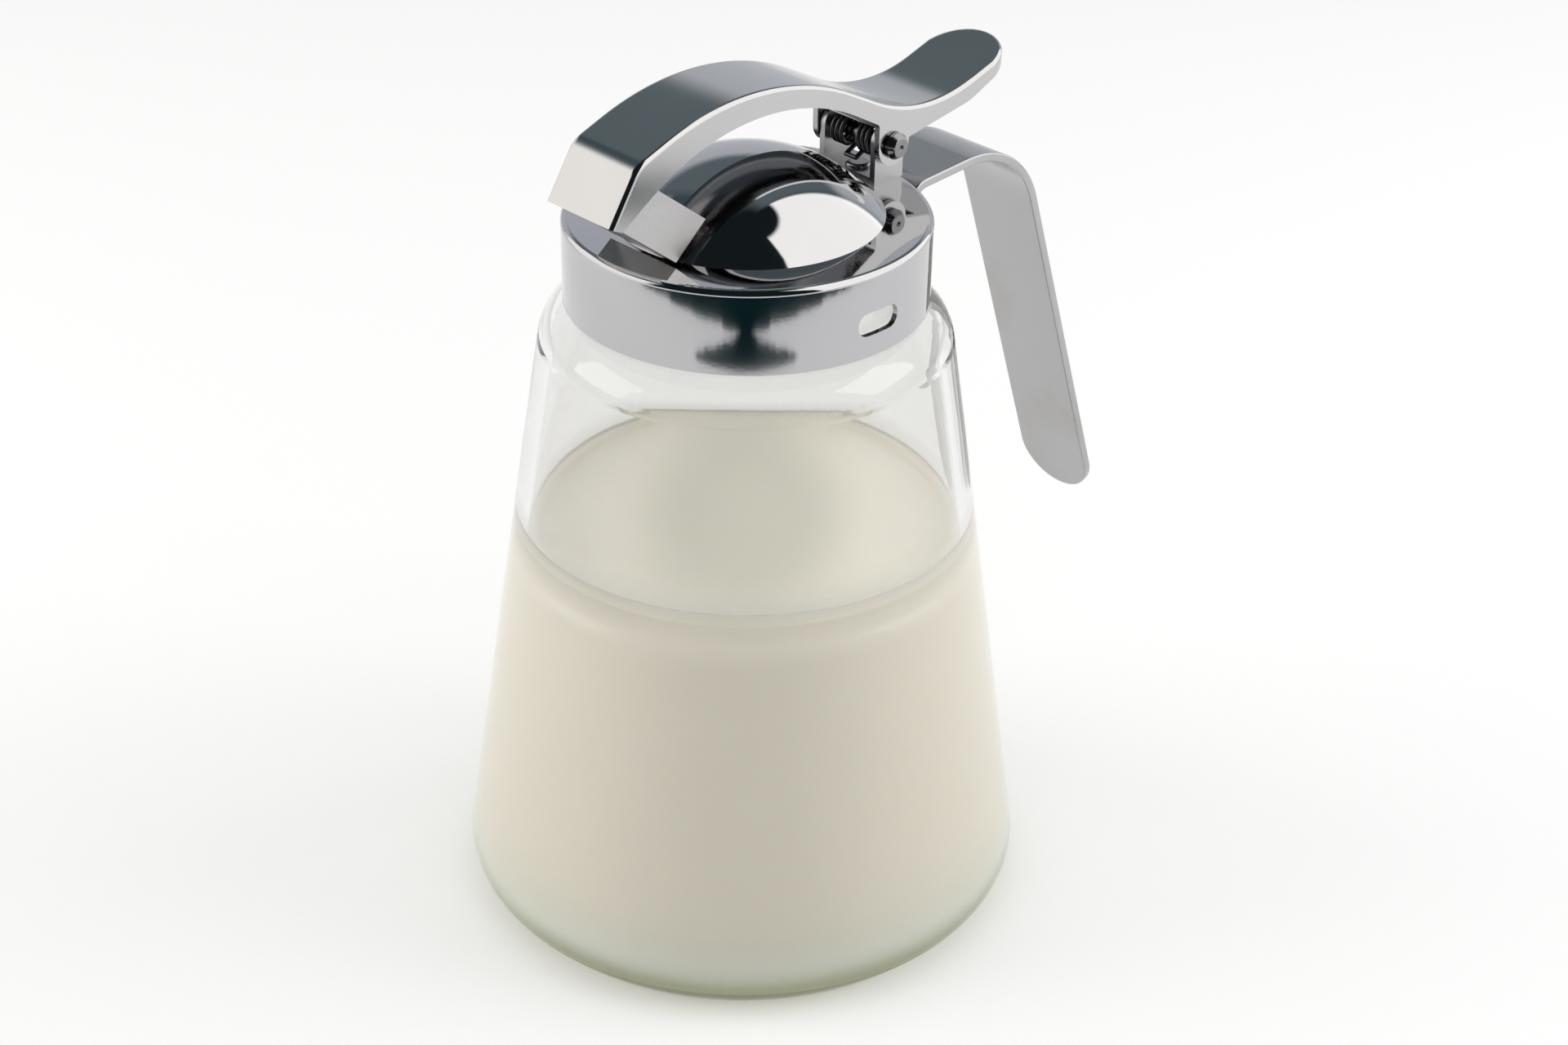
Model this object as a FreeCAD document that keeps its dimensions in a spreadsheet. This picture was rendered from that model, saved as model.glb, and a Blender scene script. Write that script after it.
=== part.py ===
import FreeCAD, Part
import math
import os
import Sketcher

# Glass milk jug with a stamped steel cap, a sprung thumb lever and a strap handle.
# Frame: +Z up, origin at the middle of the foot on the table, +X towards the handle. Millimetres.

SIZES = (
    # glass jar
    ("jar_height", 133.8), ("foot_inner", 39.0), ("punt_depth", 0.9),
    ("base_radius", 46.6), ("base_round", 4.0),
    ("knee_radius", 52.5), ("knee_height", 6.2), ("knee_round", 8.0),
    ("shoulder_width", 6.2), ("shoulder_drop", 16.9), ("shoulder_height", "=jar_height - shoulder_drop"),
    ("shoulder_round", 10.5), ("neck_length", 13.6), ("neck_base", "=jar_height - neck_length"),
    ("neck_wall", 3.0), ("neck_gap", 1.4),
    ("glass_wall", 3.0), ("floor_height", 3.2), ("inner_heel_round", 6.5), ("inner_shoulder_round", 7.0),
    # milk
    ("milk_fill", 0.571), ("milk_level", "=jar_height * milk_fill"), ("milk_gap", 0.1),
    # cap
    ("cap_radius", 32.0), ("sheet", 1.0), ("rim_round", 1.1), ("seat_gap", 0.02), ("skirt_gap", 0.15),
    ("dome_margin", 8.25), ("dome_height", 11.0),
    ("slot_length", 9.2), ("slot_width", 4.2), ("slot_drop", 9.2),
    ("dome_curve", "=((cap_radius - dome_margin) ^ 2 + dome_height ^ 2) / (2 * dome_height)"),
    ("pour_hole", 6.6), ("pour_share", 0.283),
    ("pour_angle", "=asin(1 - (1 - pour_share) * dome_height / dome_curve) / 1 deg"),
    # hinge
    ("pin_inset", 4.8), ("pin_rise", 7.2), ("pin_radius", 1.25), ("pin_head_radius", 2.4),
    ("pin_head_length", 1.7), ("pin_face_radius", 1.7), ("pin_fit", 0.05),
    ("bracket_gap", 0.25), ("bracket_inset", 1.0), ("bracket_half", 6.85), ("bracket_sheet", 1.2),
    ("bracket_eye", 3.3), ("bracket_shoulder", 3.4),
    ("rivet_radius", 1.4), ("rivet_head", 2.3), ("rivet_inset", 2.9),
    # spring
    ("wire", 0.85), ("coil_radius", 2.75), ("coil_turns", 3.5), ("coil_gap", 0.8), ("coil_end_gap", 0.15),
    ("bar_drop", 3.9), ("bar_forward", 2.2),
    # thumb lever, measured from the hinge pin
    ("lever_half", 8.18), ("side_gap", 0.15), ("lug_radius", 3.7),
    ("nose_over", 5.6), ("nose_reach", "=2 * cap_radius - pin_inset + nose_over"),
    ("nose_rise", 3.2), ("nose_thick", 2.6),
    ("brow_depth", 5.8), ("brow_reach", "=nose_reach - brow_depth"), ("brow_rise", 12.4), ("brow_round", 6.0),
    ("arch_ahead", 3.9), ("arch_reach", "=cap_radius - pin_inset + arch_ahead"),
    ("arch_rise", 23.0), ("arch_round", 52.0), ("arch_round_under", 44.8),
    ("saddle_reach", 7.5), ("saddle_rise", 3.0), ("saddle_round", 31.0),
    ("pad_reach", 32.2), ("pad_rise", 11.2), ("pad_thick", 2.2), ("pad_bend", 19.3), ("pad_bend_rise", 3.2),
    ("web_clear", 3.9), ("edge_round", 0.9),
    # stopper block
    ("stopper_gap", 0.12), ("stopper_low", 4.0), ("stopper_high", 4.8),
    ("stopper_front_length", 15.6), ("stopper_back_length", 14.6), ("stopper_lean", 37.8),
    # strap handle
    ("strap_half", 8.6), ("strap_sheet", 1.7), ("tab_inset", 1.2), ("tab_sink", 0.8),
    ("strap_rise", 4.0), ("tab_bend", 4.1), ("strap_reach", 28.85), ("strap_bend", 18.1),
    ("leg_angle", 18.75), ("leg_clear", 47.8), ("leg_drop", "=jar_height - leg_clear"),
    ("strap_drop", 2.6), ("end_flat", 0.1), ("strap_round", 0.4),
)

doc = FreeCAD.newDocument("MilkJug")
sheet = doc.addObject("Spreadsheet::Sheet", "Sizes")
for row, (alias, value) in enumerate(SIZES, start=1):
    sheet.set("A%d" % row, alias)
    sheet.set("B%d" % row, str(value))
    sheet.setAlias("B%d" % row, alias)
doc.recompute()


def S(alias):
    """A size from the sheet, as a number."""
    return float(sheet.get(alias))


def value(expression):
    """The number that an expression on the sheet gives now."""
    result = sheet.evalExpression(expression)
    return float(getattr(result, "Value", result))


def full(expression):
    """The expression with each alias written as a reference to the sheet."""
    out, word = [], ""
    for char in expression + " ":
        if char.isalnum() or char == "_":
            word += char
            continue
        out.append("Sizes." + word if word in ALIASES else word)
        out.append(char)
        word = ""
    return "".join(out).strip()


ALIASES = {alias for alias, _ in SIZES}


def new_body(label):
    body = doc.addObject("PartDesign::Body", label)
    body.Label = label
    return body


def new_sketch(body, plane, name):
    """A sketch on one of the body's own origin planes."""
    sketch = body.newObject("Sketcher::SketchObject", name)
    support = [f for f in body.Origin.OriginFeatures if f.Role == plane][0]
    sketch.AttachmentSupport = [(support, "")]
    sketch.MapMode = "FlatFace"
    return sketch


def bind(sketch, index, expression):
    sketch.setExpression("Constraints[%d]" % index, full(expression))


def corner_point(sketch, x, y):
    """A construction point held at two expressions."""
    px, py = value(x), value(y)
    index = sketch.addGeometry(Part.Point(FreeCAD.Vector(px, py, 0)), True)
    bind(sketch, sketch.addConstraint(Sketcher.Constraint("DistanceX", -1, 1, index, 1, px)), x)
    bind(sketch, sketch.addConstraint(Sketcher.Constraint("DistanceY", -1, 1, index, 1, py)), y)
    return index


def outline(sketch, corners, arcs=None, closed=True):
    """Lines through corners, each (x, y) or (x, y, round); arcs maps an edge to (cx, cy, radius)."""
    arcs = arcs or {}
    count = len(corners)
    points = [FreeCAD.Vector(value(c[0]), value(c[1]), 0) for c in corners]
    rounds = [value(c[2]) if len(c) > 2 else 0.0 for c in corners]
    held = [corner_point(sketch, c[0], c[1]) for c in corners]
    edges = range(count if closed else count - 1)
    starts, ends = {}, {}
    for i in edges:
        starts[i], ends[i] = points[i], points[(i + 1) % count]
    for i in range(count):
        before = (i - 1) % count
        if not rounds[i] or before not in ends or i not in starts:
            continue
        back = (points[before] - points[i]).normalize()
        ahead = (points[(i + 1) % count] - points[i]).normalize()
        reach = rounds[i] / math.tan(back.getAngle(ahead) / 2)
        ends[before] = points[i] + back * reach
        starts[i] = points[i] + ahead * reach
    made = {}
    for i in edges:
        if i in arcs:
            cx, cy, radius = arcs[i]
            centre = FreeCAD.Vector(value(cx), value(cy), 0)
            circle = Part.Circle(centre, FreeCAD.Vector(0, 0, 1), value(radius))
            first, last = circle.parameter(starts[i]), circle.parameter(ends[i])
            turn = (starts[i] - centre).cross(ends[i] - centre).z > 0
            span = (first, last) if turn else (last, first)
            made[i] = (sketch.addGeometry(Part.ArcOfCircle(circle, *span), False), turn)
            at = made[i][0]
            bind(sketch, sketch.addConstraint(
                Sketcher.Constraint("DistanceX", -1, 1, at, 3, value(cx))), cx)
            bind(sketch, sketch.addConstraint(
                Sketcher.Constraint("DistanceY", -1, 1, at, 3, value(cy))), cy)
            bind(sketch, sketch.addConstraint(Sketcher.Constraint("Radius", at, value(radius))), radius)
        else:
            made[i] = (sketch.addGeometry(Part.LineSegment(starts[i], ends[i]), False), True)
            for at in (i, (i + 1) % count):
                if closed or 0 < at < count - 1:
                    sketch.addConstraint(Sketcher.Constraint("PointOnObject", held[at], 1, made[i][0]))
    for i in range(count):
        before = (i - 1) % count
        if before not in made or i not in made:
            if before in made:
                sketch.addConstraint(Sketcher.Constraint("Coincident", made[before][0], 2, held[i], 1))
            else:
                sketch.addConstraint(Sketcher.Constraint("Coincident", made[i][0], 1, held[i], 1))
            continue
        last = made[before][0], 2 if made[before][1] else 1
        first = made[i][0], 1 if made[i][1] else 2
        if not rounds[i]:
            sketch.addConstraint(Sketcher.Constraint("Coincident", *last, *first))
            continue
        back = (ends[before] - points[i])
        ahead = (starts[i] - points[i])
        middle = (back + ahead).normalize()
        centre = points[i] + middle * math.hypot(back.Length, rounds[i])
        circle = Part.Circle(centre, FreeCAD.Vector(0, 0, 1), rounds[i])
        left = back.cross(ahead).z < 0
        a, b = circle.parameter(ends[before]), circle.parameter(starts[i])
        arc = sketch.addGeometry(Part.ArcOfCircle(circle, *((a, b) if left else (b, a))), False)
        sketch.addConstraint(Sketcher.Constraint("Tangent", *last, arc, 1 if left else 2))
        sketch.addConstraint(Sketcher.Constraint("Tangent", *first, arc, 2 if left else 1))
        bind(sketch, sketch.addConstraint(Sketcher.Constraint("Radius", arc, rounds[i])), corners[i][2])


def circle_at(sketch, x, y, radius):
    index = sketch.addGeometry(Part.Circle(FreeCAD.Vector(value(x), value(y), 0),
                                           FreeCAD.Vector(0, 0, 1), value(radius)), False)
    bind(sketch, sketch.addConstraint(Sketcher.Constraint("DistanceX", -1, 1, index, 3, value(x))), x)
    bind(sketch, sketch.addConstraint(Sketcher.Constraint("DistanceY", -1, 1, index, 3, value(y))), y)
    bind(sketch, sketch.addConstraint(Sketcher.Constraint("Radius", index, value(radius))), radius)


def turned(body, sketch, name):
    """The sketch turned a full circle about its own vertical axis."""
    feature = body.newObject("PartDesign::Revolution", name)
    feature.Profile = sketch
    feature.ReferenceAxis = (sketch, ["V_Axis"])
    feature.Angle = 360.0
    return feature


def padded(body, sketch, name, half):
    """The sketch padded to both sides of its plane."""
    feature = body.newObject("PartDesign::Pad", name)
    feature.Profile = sketch
    feature.Midplane = True
    feature.setExpression("Length", full("2 * (" + half + ")"))
    return feature


def cut_out(body, sketch, name, half):
    """The sketch cut to both sides of its plane."""
    feature = body.newObject("PartDesign::Pocket", name)
    feature.Profile = sketch
    feature.Midplane = True
    feature.setExpression("Length", full("2 * (" + half + ")"))
    return feature


def rounded(body, base, name, edges, radius):
    feature = body.newObject("PartDesign::Fillet", name)
    feature.Base = (base, edges)
    feature.setExpression("Radius", full(radius))
    return feature


def placed(body, x, z, angle=0.0, axis=FreeCAD.Vector(1, 0, 0)):
    """Puts a body at (x, 0, z), turned about an axis by a fixed angle."""
    body.Placement = FreeCAD.Placement(FreeCAD.Vector(), FreeCAD.Rotation(axis, angle))
    body.setExpression("Placement.Base.x", full(x))
    body.setExpression("Placement.Base.z", full(z))


# Derived levels: the cap sits on the jar's rim, and the hinge on the cap.
CAP_TOP = "(jar_height + seat_gap + sheet)"
NECK = "(cap_radius - sheet - neck_gap)"
SHOULDER = "(cap_radius - sheet - neck_gap + shoulder_width)"
SKIRT_END = "(neck_base - neck_gap * (neck_base - shoulder_height) / shoulder_width + skirt_gap)"
DOME = "(cap_radius - dome_margin)"
BRACKET_FRONT = "(cap_radius - dome_margin + bracket_gap)"
BRACKET_BACK = "(cap_radius - bracket_inset)"
RIVET_X = "(cap_radius - dome_margin + bracket_gap + rivet_inset)"
PIN_X = "(cap_radius - pin_inset)"
PIN_Z = "(jar_height + seat_gap + sheet + pin_rise)"
DOME_CENTRE = "(" + CAP_TOP + " + dome_height - dome_curve)"
SLOPE = "((" + SHOULDER + " - knee_radius) / (shoulder_height - knee_height))"
EAR_INNER = "(bracket_half + side_gap)"


def jar_radius(z):
    """The outer radius of the jar's cone at a height."""
    return "(knee_radius + " + SLOPE + " * (" + z + " - knee_height))"


# --- glass jar -------------------------------------------------------------------------
jar = new_body("glass_jar")
profile = new_sketch(jar, "XZ_Plane", "JarProfile")
inner_shoulder = "(shoulder_height - 0.8 * glass_wall)"
outline(profile, (
    ("0", "punt_depth"),
    ("foot_inner", "0"),
    ("base_radius", "0", "base_round"),
    ("knee_radius", "knee_height", "knee_round"),
    (SHOULDER, "shoulder_height", "shoulder_round"),
    (NECK, "neck_base"),
    (NECK, "jar_height"),
    (NECK + " - neck_wall", "jar_height"),
    (NECK + " - neck_wall", "neck_base - 0.7 * glass_wall"),
    (jar_radius(inner_shoulder) + " - glass_wall", inner_shoulder, "inner_shoulder_round"),
    (jar_radius("floor_height") + " - glass_wall", "floor_height", "inner_heel_round"),
    ("0", "floor_height"),
))
turned(jar, profile, "JarTurned")

# --- milk, filled to its level ---------------------------------------------------------
milk = new_body("milk")
profile = new_sketch(milk, "XZ_Plane", "MilkProfile")
outline(profile, (
    ("0", "floor_height + milk_gap"),
    (jar_radius("floor_height") + " - glass_wall - milk_gap", "floor_height + milk_gap",
     "inner_heel_round - milk_gap"),
    (jar_radius("milk_level") + " - glass_wall - milk_gap", "milk_level"),
    ("0", "milk_level"),
))
turned(milk, profile, "MilkTurned")

# --- cap: skirt, top plate and dome pressed from one sheet --------------------------------
cap = new_body("cap")
profile = new_sketch(cap, "XZ_Plane", "CapProfile")
inner_foot = "sqrt((dome_curve - sheet) ^ 2 - (" + CAP_TOP + " - sheet - " + DOME_CENTRE + ") ^ 2)"
outline(profile, (
    ("cap_radius", SKIRT_END),
    ("cap_radius", CAP_TOP, "rim_round"),
    (DOME, CAP_TOP),
    ("0", CAP_TOP + " + dome_height"),
    ("0", CAP_TOP + " + dome_height - sheet"),
    (inner_foot, CAP_TOP + " - sheet"),
    ("cap_radius - sheet", CAP_TOP + " - sheet"),
    ("cap_radius - sheet", SKIRT_END),
), arcs={2: ("0", DOME_CENTRE, "dome_curve"), 4: ("0", DOME_CENTRE, "dome_curve - sheet")})
turned(cap, profile, "CapTurned")
slot = new_sketch(cap, "XZ_Plane", "SideSlots")
outline(slot, tuple(
    (sx + " * slot_length / 2", CAP_TOP + " - slot_drop + " + sz + " * slot_width / 2", "slot_width * 0.49")
    for sx, sz in (("(-1)", "(-1)"), ("1", "(-1)"), ("1", "1"), ("(-1)", "1"))))
cut_out(cap, slot, "SideSlotsCut", "cap_radius + sheet")
hole = cap.newObject("PartDesign::SubtractiveCylinder", "PourHole")
hole.setExpression("Radius", full("pour_hole / 2"))
hole.setExpression("Height", full("dome_curve + sheet"))
hole.setExpression("Placement.Base.z", full(DOME_CENTRE))
hole.setExpression("Placement.Rotation.Angle", full("pour_angle - 90"))
hole.Placement.Rotation.Axis = FreeCAD.Vector(0, 1, 0)
rivet_seat = new_sketch(cap, "XY_Plane", "RivetSeat")
circle_at(rivet_seat, RIVET_X, "0", "rivet_radius + pin_fit")
cut_out(cap, rivet_seat, "RivetSeatCut", CAP_TOP + " + sheet")

# --- hinge bracket: a U of folded sheet ----------------------------------------------------
bracket = new_body("hinge_bracket")
profile = new_sketch(bracket, "XZ_Plane", "CheekProfile")
outline(profile, (
    (BRACKET_FRONT, CAP_TOP),
    (BRACKET_BACK, CAP_TOP),
    (BRACKET_BACK, CAP_TOP + " + bracket_shoulder", "bracket_sheet"),
    (PIN_X + " + bracket_eye", PIN_Z + " - pin_radius", "bracket_sheet"),
    (PIN_X + " + bracket_eye", PIN_Z + " + bracket_eye", "bracket_eye * 0.98"),
    (BRACKET_FRONT, PIN_Z + " + bracket_eye", "bracket_eye * 0.9"),
))
padded(bracket, profile, "BracketBlock", "bracket_half")
inside = new_sketch(bracket, "XZ_Plane", "BetweenCheeks")
outline(inside, (
    (BRACKET_FRONT + " - sheet", CAP_TOP + " + bracket_sheet"),
    (BRACKET_BACK + " + sheet", CAP_TOP + " + bracket_sheet"),
    (BRACKET_BACK + " + sheet", PIN_Z + " + 2 * bracket_eye"),
    (BRACKET_FRONT + " - sheet", PIN_Z + " + 2 * bracket_eye"),
))
cut_out(bracket, inside, "BetweenCheeksCut", "bracket_half - bracket_sheet")
eye = new_sketch(bracket, "XZ_Plane", "PinEye")
circle_at(eye, PIN_X, PIN_Z, "pin_radius + pin_fit")
cut_out(bracket, eye, "PinEyeCut", "bracket_half + sheet")
rivet_hole = new_sketch(bracket, "XY_Plane", "RivetHole")
circle_at(rivet_hole, RIVET_X, "0", "rivet_radius + pin_fit")
cut_out(bracket, rivet_hole, "RivetHoleCut", CAP_TOP + " + bracket_sheet + sheet")

# --- rivet through the bracket's foot and the cap's plate ------------------------------------
rivet = new_body("bracket_rivet")
profile = new_sketch(rivet, "XZ_Plane", "RivetProfile")
head = "(sheet + bracket_sheet)"
outline(profile, (
    ("0", "0"),
    ("rivet_radius", "0"),
    ("rivet_radius", head),
    ("rivet_head", head),
    ("rivet_head", head + " + sheet * 0.7", "sheet * 0.6"),
    ("0", head + " + sheet * 0.7"),
))
turned(rivet, profile, "RivetTurned")
placed(rivet, RIVET_X, CAP_TOP + " - sheet")

# --- hinge pin, headed at both ends ------------------------------------------------------------
pin = new_body("hinge_pin")
profile = new_sketch(pin, "XZ_Plane", "PinProfile")
seat = "(lever_half + side_gap)"
dimple = "(pin_face_radius * 0.3)"
rim = "(pin_head_length * 0.4)"
outline(profile, (
    ("0", "0 - " + seat + " - pin_head_length + " + dimple),
    (dimple, "0 - " + seat + " - pin_head_length"),
    ("pin_face_radius", "0 - " + seat + " - pin_head_length", dimple),
    ("pin_head_radius", "0 - " + seat + " - " + rim),
    ("pin_head_radius", "0 - " + seat),
    ("pin_radius", "0 - " + seat),
    ("pin_radius", seat),
    ("pin_head_radius", seat),
    ("pin_head_radius", seat + " + " + rim),
    ("pin_face_radius", seat + " + pin_head_length", dimple),
    (dimple, seat + " + pin_head_length"),
    ("0", seat + " + pin_head_length - " + dimple),
))
turned(pin, profile, "PinTurned")
placed(pin, PIN_X, PIN_Z, 90.0)

# --- thumb lever: drawn from the hinge pin ---------------------------------------------------------
lever = new_body("thumb_lever")
profile = new_sketch(lever, "XZ_Plane", "LeverProfile")
outline(profile, (
    ("0 - nose_reach", "nose_rise"),
    ("0 - nose_reach + nose_thick * 0.9", "nose_rise - nose_thick * 0.42"),
    ("0 - arch_reach - 2.5", "arch_rise - 1.7", "arch_round_under"),
    ("0 - lug_radius", "lug_radius + 0.9", "sheet"),
    ("0 - lug_radius", "0 - lug_radius", "lug_radius * 0.99"),
    ("lug_radius", "0 - lug_radius", "lug_radius * 0.99"),
    ("lug_radius", "0.5", "sheet * 0.5"),
    ("pad_bend", "pad_bend_rise", "saddle_round * 0.4"),
    ("pad_reach", "pad_rise - pad_thick"),
    ("pad_reach", "pad_rise"),
    ("saddle_reach", "saddle_rise", "saddle_round"),
    ("0 - arch_reach", "arch_rise", "arch_round"),
    ("0 - brow_reach", "brow_rise", "brow_round"),
))
padded(lever, profile, "LeverBlock", "lever_half")
channel = new_sketch(lever, "XZ_Plane", "BetweenEars")
outline(channel, (
    ("0 - 2 * lug_radius", "0 - 2 * lug_radius"),
    ("2 * lug_radius", "0 - 2 * lug_radius"),
    ("2 * lug_radius", "web_clear", "sheet"),
    ("0 - 2 * lug_radius", "web_clear"),
))
cut_out(lever, channel, "BetweenEarsCut", EAR_INNER)
eye = new_sketch(lever, "XZ_Plane", "EarEyes")
circle_at(eye, "0", "0", "pin_radius + pin_fit")
ears = cut_out(lever, eye, "EarEyesCut", "lever_half + sheet")
doc.recompute()


def edges_where(shape, test):
    return ["Edge%d" % (i + 1) for i, edge in enumerate(shape.Edges) if test(edge)]


pad_end = new_sketch(lever, "XY_Plane", "PadEnd")
pad_round = "(lever_half * 1.02)"
pad_centre = "(pad_reach - " + pad_round + ")"
pad_side = "(" + pad_centre + " + " + pad_round + " * cos(80 deg))"
outline(pad_end, (
    (pad_side, pad_round + " * sin(80 deg)"),
    (pad_side, "0 - " + pad_round + " * sin(80 deg)"),
    (pad_side, "0 - 2 * lever_half"),
    ("pad_reach + lever_half", "0 - 2 * lever_half"),
    ("pad_reach + lever_half", "2 * lever_half"),
    (pad_side, "2 * lever_half"),
), arcs={0: (pad_centre, "0", pad_round)})
tip = cut_out(lever, pad_end, "PadEndCut", "2 * arch_rise")
doc.recompute()


def upper_edge(edge):
    """An edge along the lever's upper face, at its sides or round the thumb pad."""
    middle = edge.valueAt((edge.FirstParameter + edge.LastParameter) / 2)
    if abs(middle.y) < S("lever_half") / 3:
        return False
    faces = [f for f in tip.Shape.ancestorsOfType(edge, Part.Face)]
    return any(f.normalAt(*f.Surface.parameter(middle)).z > 0.6 for f in faces)


placed(lever, PIN_X, PIN_Z)
doc.recompute()
sides = edges_where(tip.Shape, upper_edge)
final = rounded(lever, tip, "SoftEdges", sides, "edge_round")
doc.recompute()

# --- stopper block under the nose, its end face lying along the dome -----------------------------------
block = new_body("StopperBlank")
profile = new_sketch(block, "XZ_Plane", "StopperProfile")
face_x = "(0 - cos(pour_angle * 1 deg) * (dome_curve + stopper_gap))"
face_z = "(" + DOME_CENTRE + " + sin(pour_angle * 1 deg) * (dome_curve + stopper_gap))"
low_x = face_x + " - sin(pour_angle * 1 deg) * stopper_low"
low_z = face_z + " - cos(pour_angle * 1 deg) * stopper_low"
high_x = face_x + " + sin(pour_angle * 1 deg) * stopper_high"
high_z = face_z + " + cos(pour_angle * 1 deg) * stopper_high"
outline(profile, (
    (low_x, low_z),
    (high_x, high_z),
    (high_x + " - cos(stopper_lean * 1 deg) * stopper_back_length",
     high_z + " + sin(stopper_lean * 1 deg) * stopper_back_length"),
    (low_x + " - cos(stopper_lean * 1 deg) * stopper_front_length",
     low_z + " + sin(stopper_lean * 1 deg) * stopper_front_length"),
))
padded(block, profile, "StopperPad", "lever_half")
stopper = doc.addObject("Part::Cut", "stopper")
stopper.Base = block
stopper.Tool = lever
stopper.Label = "stopper"

# --- strap handle: one bent strip, its tab against the skirt -------------------------------------------
strap = new_body("handle_strap")
path = new_sketch(strap, "XZ_Plane", "StrapPath")
strap_top = "(" + CAP_TOP + " - strap_drop)"
mid = "(cap_radius - tab_sink + strap_sheet / 2)"
tab_start = "(" + SKIRT_END + " + tab_inset)"
rise = "tan(strap_rise * 1 deg)"
lean = "tan(leg_angle * 1 deg)"
outline(path, (
    (mid, tab_start),
    (mid, strap_top, "tab_bend"),
    (mid + " + strap_reach", strap_top + " + strap_reach * " + rise, "strap_bend"),
    (mid + " + strap_reach + leg_drop * " + lean, strap_top + " + strap_reach * " + rise + " - leg_drop"),
), closed=False)
section = new_sketch(strap, "XY_Plane", "StrapSection")
section.setExpression("AttachmentOffset.Base.z", full(tab_start))
outline(section, (
    (mid + " - strap_sheet / 2", "0 - strap_half"),
    (mid + " + strap_sheet / 2", "0 - strap_half"),
    (mid + " + strap_sheet / 2", "strap_half"),
    (mid + " - strap_sheet / 2", "strap_half"),
))
bent = strap.newObject("PartDesign::AdditivePipe", "StrapBent")
bent.Profile = section
bent.Spine = path
doc.recompute()
seat = strap.newObject("PartDesign::SubtractiveCylinder", "SkirtSeat")
seat.setExpression("Radius", full("cap_radius"))
seat.setExpression("Height", full(CAP_TOP))
doc.recompute()


def end_corner(edge):
    """One of the two short edges across the sheet at the strap's free end."""
    box = edge.BoundBox
    return edge.Length < 1.2 * S("strap_sheet") and box.ZMax < S("jar_height") / 2 and box.YLength < 0.01


free_end = edges_where(seat.Shape, end_corner)
round_end = rounded(strap, seat, "RoundEnd", free_end, "strap_half - end_flat")
doc.recompute()


def side_edge(edge):
    """An edge along the strip's two long sides and round its end."""
    box = edge.BoundBox
    outer = max(abs(box.YMin), abs(box.YMax)) > S("strap_half") - S("end_flat")
    return outer and edge.Length > 1.2 * S("strap_sheet") and box.ZMax > value(SKIRT_END) - S("leg_drop")


strap_sides = edges_where(round_end.Shape, side_edge)
soft_strap = rounded(strap, round_end, "SoftStrap", strap_sides, "strap_round")

# --- double torsion spring round the pin ------------------------------------------------------------------


def tube(path_wire, at, along, radius):
    """A round wire swept along a path."""
    circle = Part.Wire(Part.makeCircle(radius, at, along))
    return path_wire.makePipeShell([circle], True, True)


def coil(side):
    """One group of turns, from the gap in the middle out to the bracket's cheek."""
    radius, turns = S("coil_radius"), S("coil_turns")
    room = S("bracket_half") - S("bracket_sheet") - S("coil_end_gap") - S("coil_gap") - S("wire")
    pitch = room / turns
    helix = Part.makeHelix(pitch, pitch * turns, radius)
    start = FreeCAD.Vector(radius, 0, 0)
    along = FreeCAD.Vector(0, 2 * math.pi * radius, pitch)
    body = tube(Part.Wire(helix.Edges), start, along, S("wire") / 2)
    body.translate(FreeCAD.Vector(0, 0, S("coil_gap") + S("wire") / 2))
    if side < 0:
        body = body.mirror(FreeCAD.Vector(), FreeCAD.Vector(0, 0, 1))
    return body


def rod(a, b, radius):
    return Part.makeCylinder(radius, (b - a).Length, a, b - a)


thin = S("wire") / 2
coils = [coil(1), coil(-1)]
inner_end = S("coil_gap") + thin
anchors = [FreeCAD.Vector(S("coil_radius"), 0, side * inner_end) for side in (1, -1)]
low = [FreeCAD.Vector(S("bar_drop"), -S("bar_forward"), side * inner_end) for side in (1, -1)]
pieces = coils + [rod(anchors[0], low[0], thin), rod(low[0], low[1], thin), rod(low[1], anchors[1], thin)]
pieces += [Part.makeSphere(thin, point) for point in low + anchors]
wire_shape = pieces[0].multiFuse(pieces[1:])
spring = doc.addObject("Part::Feature", "spring")
spring.Label = "spring"
spring.Shape = wire_shape
spring.Placement = FreeCAD.Placement(
    FreeCAD.Vector(value(PIN_X), 0, value(PIN_Z)),
    FreeCAD.Rotation(FreeCAD.Vector(0, 0, -1), FreeCAD.Vector(1, 0, 0), FreeCAD.Vector(0, -1, 0), "ZXY"))

# --- checks and export ---------------------------------------------------------------------------------------
doc.recompute()
NODES = (jar, milk, cap, bracket, rivet, pin, spring, lever, stopper, strap)
for item in doc.Objects:
    if "Invalid" in item.State or "Error" in item.State:
        raise RuntimeError("failed object: " + item.Label)
for node in NODES:
    if node.Shape.isNull() or not node.Shape.isValid() or len(node.Shape.Solids) != 1:
        raise RuntimeError("bad shape: " + node.Label)
    print(node.Label, round(node.Shape.Volume, 1), node.Shape.BoundBox)
os.makedirs("parts", exist_ok=True)
for node in NODES:
    node.Shape.exportStep("parts/" + node.Label + ".step")
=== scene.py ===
"""Looks for the milk jug: polished steel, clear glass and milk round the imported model."""

import math

import bpy
from bpy.props import FloatProperty, FloatVectorProperty, IntProperty, PointerProperty
from mathutils import Matrix, Vector


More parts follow.
